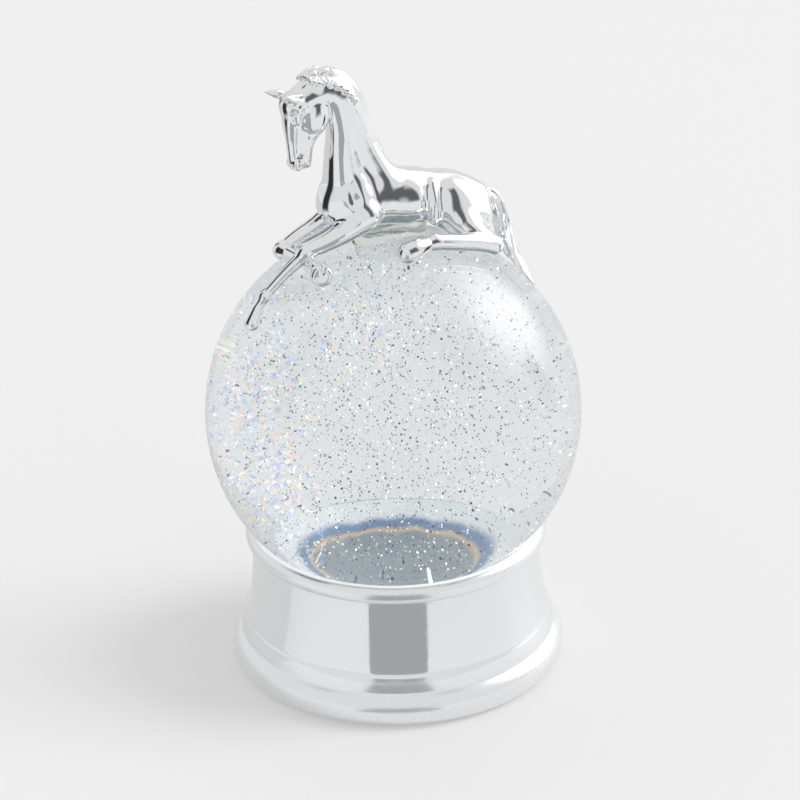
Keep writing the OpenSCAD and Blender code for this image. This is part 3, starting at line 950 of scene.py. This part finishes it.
def model_tail(clay):
    """A dock and a fall of wavy strands that lies down over the glass."""
    path = [(-30.5, 0, 67.2, 2.7), (-34.6, 0.8, 65.6, 2.9), (-37.2, 1.6, 60.5, 2.8),
            (-38.0, 3.2, 54.0, 2.7), (-37.4, 8.5, 51.0, 2.6), (-36.9, 14.5, 48.6, 2.4),
            (-37.6, 20.0, 45.0, 1.9), (-40.2, 23.2, 40.4, 0.9)]
    run = smooth_path(path, 5)
    clay.limb([(x, y, z, r * 0.72) for x, y, z, r in run], 0.8)
    spine = np.array(run)
    way = np.gradient(spine[:, :3], axis=0)
    way /= np.linalg.norm(way, axis=1, keepdims=True)
    side = np.cross(way, (0.3, 1.0, 0.2))
    side /= np.linalg.norm(side, axis=1, keepdims=True)
    rise = np.cross(way, side)
    share = np.linspace(0, 1, len(run))
    strands = 9
    for k in range(strands):
        turn = 2 * math.pi * k / strands + 1.5 * share + 0.35 * np.sin(9.0 * share + 1.9 * k)
        reach = spine[:, 3] * 0.78 * (0.94 + 0.06 * np.cos(7 * share + k))
        aside, above = (reach * np.cos(turn))[:, None], (reach * np.sin(turn))[:, None]
        places = spine[:, :3] + side * aside + rise * above
        radii = spine[:, 3] * 0.29
        clay.limb([(*p, r) for p, r in zip(places, radii)], 0.22)


class SNOWGLOBE_OT_horse(bpy.types.Operator):
    """Model the plated horse"""

    bl_idname = "snow_globe.horse"
    bl_label = "Plated Horse"

    def execute(self, context):
        horse, globe = context.scene.snow_globe_horse, context.scene.snow_globe_globe
        turn = math.pi + horse.turn
        head_at, head_turn = (24, 0, 110), math.degrees(horse.head_turn)
        clay = Clay((-44, -24, 34), (56, 30, 124), horse.cell / MM)
        model_body(clay)
        carve_body(clay)
        model_legs(clay)
        model_sole(clay)
        model_head(clay, head_at, head_turn)
        model_mane(clay, head_at, head_turn)
        model_ears(clay, head_at, head_turn)
        model_tail(clay)
        back = horse.set_back / MM
        centre = (-back * math.sin(-turn), -back * math.cos(turn), 0.0)
        clay.clear_ball(centre, globe.glass_radius / MM + 0.05, 1.0)
        points, quads = clay.surface()
        c, s = math.cos(turn), math.sin(turn)
        x, y, z = points.T * MM
        placed = np.stack((x * c - y * s, x * s + y * c + horse.set_back, z + globe.centre_height), 1)
        material = plating("plated_horse", context.scene.snow_globe_base.plate_tint, 120.0, 0.00006)
        piece = mesh_piece("cast_horse", placed.tolist(), quads.tolist(), material)
        belong(piece, "globe", "plated_horse", "horse_figurine")
        return {"FINISHED"}


# ---------------------------------------------------------------- glitter

def flake_tree(name, material):
    """Strews flakes through a box, then keeps those inside the globe and inside the drifts of a noise.

    Shell is the least distance from the globe's centre, and Radial turns the long flakes to point outwards.
    """
    tree = bpy.data.node_groups.new(name, "GeometryNodeTree")
    inputs = {
        "Count": ("NodeSocketInt", 100), "Seed": ("NodeSocketInt", 1),
        "Centre": ("NodeSocketVector", (0.0, 0.0, 0.0)),
        "Half Size": ("NodeSocketVector", (0.05, 0.05, 0.05)),
        "Globe Centre": ("NodeSocketVector", (0.0, 0.0, 0.087)), "Reach": ("NodeSocketFloat", 0.055),
        "Floor": ("NodeSocketFloat", 0.037), "Flake Low": ("NodeSocketFloat", 0.0002),
        "Flake High": ("NodeSocketFloat", 0.0004), "Drift Scale": ("NodeSocketFloat", 40.0),
        "Drift Cut": ("NodeSocketFloat", 0.0), "Tilt": ("NodeSocketFloat", math.pi),
        "Shell": ("NodeSocketFloat", 0.0), "Stretch": ("NodeSocketFloat", 1.0),
        "Radial": ("NodeSocketFloat", 0.0),
    }
    for label, (kind, default) in inputs.items():
        socket = tree.interface.new_socket(label, in_out="INPUT", socket_type=kind)
        socket.default_value = default
    tree.interface.new_socket("Geometry", in_out="OUTPUT", socket_type="NodeSocketGeometry")
    nodes, links = tree.nodes, tree.links
    inlet, outlet = nodes.new("NodeGroupInput"), nodes.new("NodeGroupOutput")

    def node(kind, **settings):
        made = nodes.new(kind)
        for label, value in settings.items():
            setattr(made, label, value)
        return made

    def feed(target, socket, source):
        if isinstance(source, bpy.types.NodeSocket):
            links.new(source, target.inputs[socket])
        else:
            target.inputs[socket].default_value = source

    def vector_math(operation, *sources):
        made = node("ShaderNodeVectorMath", operation=operation)
        for i, source in enumerate(sources):
            feed(made, i, source)
        return made.outputs["Value" if operation in ("LENGTH", "DISTANCE") else "Vector"]

    def compare(operation, a, b):
        made = node("FunctionNodeCompare", data_type="FLOAT", operation=operation)
        feed(made, "A", a)
        feed(made, "B", b)
        return made.outputs["Result"]

    def either(a, b):
        made = node("FunctionNodeBooleanMath", operation="OR")
        feed(made, 0, a)
        feed(made, 1, b)
        return made.outputs["Boolean"]

    def draw(kind, low, high, shift):
        made = node("FunctionNodeRandomValue", data_type=kind)
        first = 0 if kind == "FLOAT_VECTOR" else 2
        feed(made, first, low)
        feed(made, first + 1, high)
        seed = node("ShaderNodeMath", operation="ADD")
        feed(seed, 0, inlet.outputs["Seed"])
        feed(seed, 1, float(shift))
        feed(made, "Seed", seed.outputs[0])
        return made.outputs[0 if kind == "FLOAT_VECTOR" else 1]

    box = draw("FLOAT_VECTOR", (-1.0, -1.0, -1.0), (1.0, 1.0, 1.0), 0)
    spread = vector_math("MULTIPLY", box, inlet.outputs["Half Size"])
    place = vector_math("ADD", spread, inlet.outputs["Centre"])
    points = node("GeometryNodePoints")
    feed(points, "Count", inlet.outputs["Count"])
    feed(points, "Position", place)
    here = node("GeometryNodeInputPosition").outputs["Position"]
    away = vector_math("DISTANCE", here, inlet.outputs["Globe Centre"])
    split = node("ShaderNodeSeparateXYZ")
    feed(split, 0, here)
    noise = node("ShaderNodeTexNoise")
    feed(noise, "Vector", here)
    feed(noise, "Scale", inlet.outputs["Drift Scale"])
    feed(noise, "Detail", 1.0)
    stray = either(compare("GREATER_THAN", away, inlet.outputs["Reach"]),
                   compare("LESS_THAN", split.outputs["Z"], inlet.outputs["Floor"]))
    stray = either(stray, compare("LESS_THAN", noise.outputs[0], inlet.outputs["Drift Cut"]))
    stray = either(stray, compare("LESS_THAN", away, inlet.outputs["Shell"]))
    keep = node("GeometryNodeDeleteGeometry", domain="POINT")
    feed(keep, "Geometry", points.outputs[0])
    feed(keep, "Selection", stray)
    store = node("GeometryNodeStoreNamedAttribute", data_type="FLOAT", domain="POINT")
    feed(store, "Geometry", keep.outputs[0])
    feed(store, "Name", "draw")
    feed(store, "Value", draw("FLOAT", 0.0, 1.0, 1))
    flake = node("GeometryNodeMeshCircle", fill_type="NGON")
    feed(flake, "Vertices", 6)
    feed(flake, "Radius", 1.0)
    across = draw("FLOAT", -1.0, 1.0, 2)
    along = draw("FLOAT", -1.0, 1.0, 3)
    lean = node("ShaderNodeCombineXYZ")
    feed(lean, 0, across)
    feed(lean, 1, along)
    feed(lean, 2, draw("FLOAT", -1.0, 1.0, 4))
    tilted = node("ShaderNodeVectorMath", operation="SCALE")
    feed(tilted, 0, lean.outputs[0])
    feed(tilted, "Scale", inlet.outputs["Tilt"])
    strew = node("GeometryNodeInstanceOnPoints")
    feed(strew, "Points", store.outputs[0])
    long_flake = node("GeometryNodeTransform")
    feed(long_flake, "Geometry", flake.outputs[0])
    reach = node("ShaderNodeCombineXYZ")
    feed(reach, 0, inlet.outputs["Stretch"])
    feed(reach, 1, 1.0)
    feed(reach, 2, 1.0)
    feed(long_flake, "Scale", reach.outputs[0])
    point_out = node("FunctionNodeAlignRotationToVector", axis="X")
    feed(point_out, "Factor", inlet.outputs["Radial"])
    feed(point_out, "Vector", vector_math("SUBTRACT", here, inlet.outputs["Globe Centre"]))
    turn = node("FunctionNodeRotateRotation", rotation_space="LOCAL")
    feed(turn, "Rotation", point_out.outputs[0])
    feed(turn, 1, tilted.outputs[0])
    feed(strew, "Instance", long_flake.outputs[0])
    feed(strew, "Rotation", turn.outputs[0])
    feed(strew, "Scale", draw("FLOAT", inlet.outputs["Flake Low"], inlet.outputs["Flake High"], 5))
    real = node("GeometryNodeRealizeInstances")
    feed(real, "Geometry", strew.outputs[0])
    paint = node("GeometryNodeSetMaterial")
    feed(paint, "Geometry", real.outputs[0])
    feed(paint, "Material", material)
    links.new(paint.outputs[0], outlet.inputs[0])
    return tree


def strew_flakes(name, material, **values):
    """One plain mesh of flakes, drawn by a tree with the given inputs."""
    tree = flake_tree(name + "_tree", material)
    carrier = link(bpy.data.objects.new(name, bpy.data.meshes.new(name)))
    modifier = carrier.modifiers.new("flakes", "NODES")
    modifier.node_group = tree
    marks = {item.name: item.identifier for item in tree.interface.items_tree if item.in_out == "INPUT"}
    for label, value in values.items():
        modifier[marks[label.replace("_", " ")]] = value
    settled = bpy.context.evaluated_depsgraph_get()
    mesh = bpy.data.meshes.new_from_object(carrier.evaluated_get(settled))
    if not mesh.polygons:
        raise RuntimeError(name + " drew no flakes")
    carrier.modifiers.remove(modifier)
    carrier.data = mesh
    return carrier


class SNOWGLOBE_OT_glitter(bpy.types.Operator):
    """Strew the loose and the settled glitter"""

    bl_idname = "snow_globe.glitter"
    bl_label = "Glitter"

    def execute(self, context):
        glitter, globe = context.scene.snow_globe_glitter, context.scene.snow_globe_globe
        centre = (0.0, 0.0, globe.centre_height)
        inner = globe.glass_radius - globe.glass_wall
        small, seed = glitter.flake_radius, glitter.seed
        common = {"Globe_Centre": centre, "Reach": inner - 0.0015, "Floor": STOPPER_HIGH.z + 0.0015}
        silver = silver_flake()
        piece = strew_flakes("silver_flakes", silver, Count=glitter.silver_count, Seed=seed, Centre=centre,
                             Half_Size=(inner, inner, inner), Flake_Low=small * 0.6,
                             Flake_High=small * 1.25, **common)
        belong(piece, "contents", "silver_flake", "silver_glitter")
        film = iridescent_flake()
        piece = strew_flakes("iridescent_flakes", film, Count=glitter.iridescent_count, Seed=seed + 20,
                             Centre=(-0.018, 0.0, globe.centre_height), Half_Size=(0.042, inner, inner),
                             Flake_Low=small * 0.7, Flake_High=small * 1.5, Drift_Scale=45.0, Drift_Cut=0.5,
                             **common)
        belong(piece, "contents", "iridescent_flake", "iridescent_glitter")
        # The streak flakes are iridescent glitter, and all of them glow at 0.55: painted light for the
        # rainbow that the glitter splits from the light.
        streak = iridescent_flake("iridescent_streak", 0.45, 0.0, 0.55)
        for i, (centre_x, centre_y, rise, half, number) in enumerate(
                ((-0.040, -0.006, -0.018, (0.020, 0.04, 0.026), 3600),
                 (-0.044, 0.0, 0.008, (0.016, 0.04, 0.022), 1700),
                 (-0.014, -0.018, 0.036, (0.020, 0.02, 0.016), 1400))):
            piece = strew_flakes(f"iridescent_streaks_{i + 1}", streak, Count=number, Seed=seed + 60 + i,
                                 Centre=(centre_x, centre_y, globe.centre_height + rise), Half_Size=half,
                                 Flake_Low=small * 1.2, Flake_High=small * 3.0, Drift_Scale=90.0,
                                 Drift_Cut=0.5, Tilt=0.8, Stretch=1.7, Radial=1.0, **common)
            belong(piece, "contents", "iridescent_flake")
        common.update(Floor=STOPPER_HIGH.z, Reach=inner - 0.0003, Shell=inner - 0.0013)
        piece = strew_flakes("settled_flakes", settled_flake(), Count=glitter.settled_count, Seed=seed + 40,
                             Centre=(0.0, 0.0, STOPPER_HIGH.z + 0.0100), Half_Size=(0.046, 0.046, 0.0022),
                             Flake_Low=small * 0.35, Flake_High=small * 0.8, Tilt=0.5, **common)
        belong(piece, "contents", "settled_flake", "settled_glitter")
        return {"FINISHED"}


# ---------------------------------------------------------------- stage

def view_axes(elevation):
    """The camera's right, up and back directions before it leans."""
    back = Vector((0.0, -math.cos(elevation), math.sin(elevation)))
    right = Vector((1.0, 0.0, 0.0))
    return right, back.cross(right), back


def glow_material(name, colour):
    material = bpy.data.materials.new(name)
    material.use_nodes = True
    tree = material.node_tree
    tree.nodes.remove(tree.nodes["Principled BSDF"])
    glow = tree.nodes.new("ShaderNodeEmission")
    glow.inputs["Color"].default_value = (*colour, 1.0)
    tree.links.new(glow.outputs["Emission"], tree.nodes["Material Output"].inputs["Surface"])
    return material


def only_mirrored(piece):
    piece.visible_camera = False
    piece.visible_shadow = False
    piece.visible_diffuse = False
    piece.visible_transmission = False


def stage_card(name, points, faces, colour):
    """A card that only mirror surfaces show."""
    only_mirrored(mesh_piece(name, points, faces, glow_material(name, colour)))


def fan(start, end, rows, steps=24):
    """Points and quads of a sheet about Z: rows of (radius, height) between two bearings off the front."""
    points = []
    for radius, height in rows:
        for k in range(steps + 1):
            bearing = math.radians(start + (end - start) * k / steps)
            points.append((radius * math.sin(bearing), -radius * math.cos(bearing), height))
    faces = []
    for row in range(len(rows) - 1):
        for k in range(steps):
            low = row * (steps + 1) + k
            faces.append((low, low + 1, low + steps + 2, low + steps + 1))
    return points, faces


def floor_card(name, start, end, near, far, colour):
    stage_card(name, *fan(start, end, ((near, 0.0006), (far, 0.0006))), colour)


def fade_out(material, cover):
    """Lets a lit card show only as far as its cover says."""
    nodes, links = material.node_tree.nodes, material.node_tree.links
    clear = nodes.new("ShaderNodeBsdfTransparent")
    mix = nodes.new("ShaderNodeMixShader")
    links.new(cover, mix.inputs["Fac"])
    links.new(clear.outputs["BSDF"], mix.inputs[1])
    links.new(nodes["Emission"].outputs["Emission"], mix.inputs[2])
    links.new(mix.outputs["Shader"], nodes["Material Output"].inputs["Surface"])


def ring_card(name, start, end, radius, low, high, colour, height=0.1, border=0.3):
    """A standing sheet between two angles of elevation, which fades out over its border."""
    rows, steps = 24, 24
    angles = (math.radians(low + (high - low) * i / rows) for i in range(rows + 1))
    levels = [(radius * math.cos(a), height + radius * math.sin(a)) for a in angles]
    points, faces = fan(start, end, levels, steps)
    material = glow_material(name, colour)
    piece = mesh_piece(name, points, faces, material)
    cover = piece.data.attributes.new("cover", "FLOAT", "POINT")
    for i, item in enumerate(cover.data):
        across, along = (i % (steps + 1)) / steps, (i // (steps + 1)) / rows
        inside = min(1.0, min(across, 1 - across, along, 1 - along) / border)
        item.value = inside * inside * (3 - 2 * inside)
    shown = material.node_tree.nodes.new("ShaderNodeAttribute")
    shown.attribute_name = "cover"
    fade_out(material, shown.outputs["Fac"])
    only_mirrored(piece)


def soft_card(name, centre, aim, radius, strength):
    """A round lit card that fades out to clear at its edge."""
    middle = Vector(centre)
    turn = (Vector(aim) - middle).to_track_quat("Z", "Y").to_matrix()
    corners = ((-1, -1), (1, -1), (1, 1), (-1, 1))
    points = [middle + turn @ Vector((x * radius, y * radius, 0.0)) for x, y in corners]
    material = glow_material(name, (1.0, 1.0, 1.0))
    nodes, links = material.node_tree.nodes, material.node_tree.links
    place = nodes.new("ShaderNodeTexCoord")
    away = nodes.new("ShaderNodeVectorMath")
    away.operation = "DISTANCE"
    away.inputs[1].default_value = middle
    links.new(place.outputs["Object"], away.inputs[0])
    fade = nodes.new("ShaderNodeMapRange")
    fade.interpolation_type = "SMOOTHERSTEP"
    fade.inputs["From Min"].default_value = radius
    fade.inputs["From Max"].default_value = 0.0
    links.new(away.outputs["Value"], fade.inputs["Value"])
    glow = nodes["Emission"]
    glow.inputs["Strength"].default_value = strength
    fade_out(material, fade.outputs["Result"])
    only_mirrored(mesh_piece(name, points, [(0, 1, 2, 3)], material))


class SNOWGLOBE_OT_camera(bpy.types.Operator):
    """Set the camera"""

    bl_idname = "snow_globe.camera"
    bl_label = "Camera"

    def execute(self, context):
        stage, globe = context.scene.snow_globe_stage, context.scene.snow_globe_globe
        right, up, back = view_axes(stage.elevation)
        middle = Vector((0.0, 0.0, globe.centre_height))
        aim = middle + right * 2.2 * MM + up * 3.0 * MM
        data = bpy.data.cameras.new("camera")
        data.lens = stage.lens
        data.sensor_width = 36.0
        data.clip_start, data.clip_end = 0.1, 30.0
        camera = link(bpy.data.objects.new("camera", data))
        eye = middle + back * stage.distance
        turn = (aim - eye).to_track_quat("-Z", "Y").to_matrix() @ Matrix.Rotation(-stage.roll, 3, "Z")
        camera.matrix_world = Matrix.Translation(eye) @ turn.to_4x4()
        context.scene.camera = camera
        return {"FINISHED"}


class SNOWGLOBE_OT_stage(bpy.types.Operator):
    """Lay the pale floor and set the lights"""

    bl_idname = "snow_globe.stage"
    bl_label = "Floor and Lights"

    def execute(self, context):
        stage = context.scene.snow_globe_stage
        context.scene.view_settings.view_transform = "Standard"
        half = 6.0
        floor_material, shader = new_material("floor", stage.floor_tint, 0.6)
        shader.inputs["Specular IOR Level"].default_value = 0.1
        shader.inputs["Emission Color"].default_value = (1.0, 1.0, 1.0, 1.0)
        shader.inputs["Emission Strength"].default_value = stage.floor_glow
        floor = mesh_piece("floor", [(-half, -half, 0), (half, -half, 0), (half, half, 0), (-half, half, 0)],
                           [(0, 1, 2, 3)], floor_material)

        world = bpy.data.worlds.new("white_room")
        world.use_nodes = True
        context.scene.world = world
        glow = world.node_tree.nodes["Background"]
        glow.inputs["Color"].default_value = (1.0, 1.0, 1.0, 1.0)
        glow.inputs["Strength"].default_value = stage.sky

        middle = (0.0, 0.0, 0.1)
        sun = bpy.data.lights.new("window", "SUN")
        sun.energy, sun.angle = stage.sun, math.radians(32)
        key = link(bpy.data.objects.new("window", sun))
        key.rotation_euler = Vector((0.99, 0.04, 0.74)).to_track_quat("Z", "Y").to_euler()
        key.visible_glossy = False
        key.visible_transmission = False
        soft_card("softbox_glow", (1.0, 0.5, 0.75), middle, 0.95, 5.6)
        black, dark = (0.03, 0.03, 0.035), (0.13, 0.13, 0.145)
        grey, pale = (0.40, 0.405, 0.41), (0.7, 0.7, 0.7)
        floor_card("table_front", -18.5, 18.5, 0.075, 1.4, grey)
        floor_card("table_left", -150.0, -75.6, 0.075, 1.4, pale)
        ring_card("stand", -18.5, 18.5, 1.3, -3.0, 4.0, grey, border=0.02)
        ring_card("dark_room", 31.0, 66.0, 0.13, -9.0, 52.0, dark, 0.165, 0.28)
        ring_card("dark_flag_left", -88.0, -50.0, 0.13, -34.0, 40.0, black, 0.17, 0.25)
        ring_card("dark_flag_back", -132.0, -104.0, 0.13, -5.0, 45.0, black, 0.17, 0.35)
        ring_card("dark_flag_right", 78.0, 94.0, 0.13, -42.0, -6.0, black, 0.17, 0.35)
        return {"FINISHED"}


# ---------------------------------------------------------------- add-on

PIECES = (SNOWGLOBE_OT_camera, SNOWGLOBE_OT_stage, SNOWGLOBE_OT_base, SNOWGLOBE_OT_fittings,
          SNOWGLOBE_OT_globe, SNOWGLOBE_OT_horse, SNOWGLOBE_OT_glitter)


class SNOWGLOBE_PT_maker(bpy.types.Panel):
    """Lists the pieces of the snow globe in the order that they are made"""

    bl_idname = "SNOWGLOBE_PT_maker"
    bl_label = "Snow Globe"
    bl_space_type = "VIEW_3D"
    bl_region_type = "UI"
    bl_category = "Snow Globe"

    def draw(self, context):
        for piece in PIECES:
            self.layout.operator(piece.bl_idname)


CLASSES = (*SETTINGS.values(), *PIECES, SNOWGLOBE_PT_maker)


def register():
    for cls in CLASSES:
        bpy.utils.register_class(cls)
    for name, group in SETTINGS.items():
        setattr(bpy.types.Scene, name, bpy.props.PointerProperty(type=group))


def unregister():
    for name in SETTINGS:
        delattr(bpy.types.Scene, name)
    for cls in reversed(CLASSES):
        bpy.utils.unregister_class(cls)


def main():
    register()
    for piece in PIECES:
        category, name = piece.bl_idname.split(".")
        getattr(getattr(bpy.ops, category), name)()


if __name__ == "__main__":
    main()
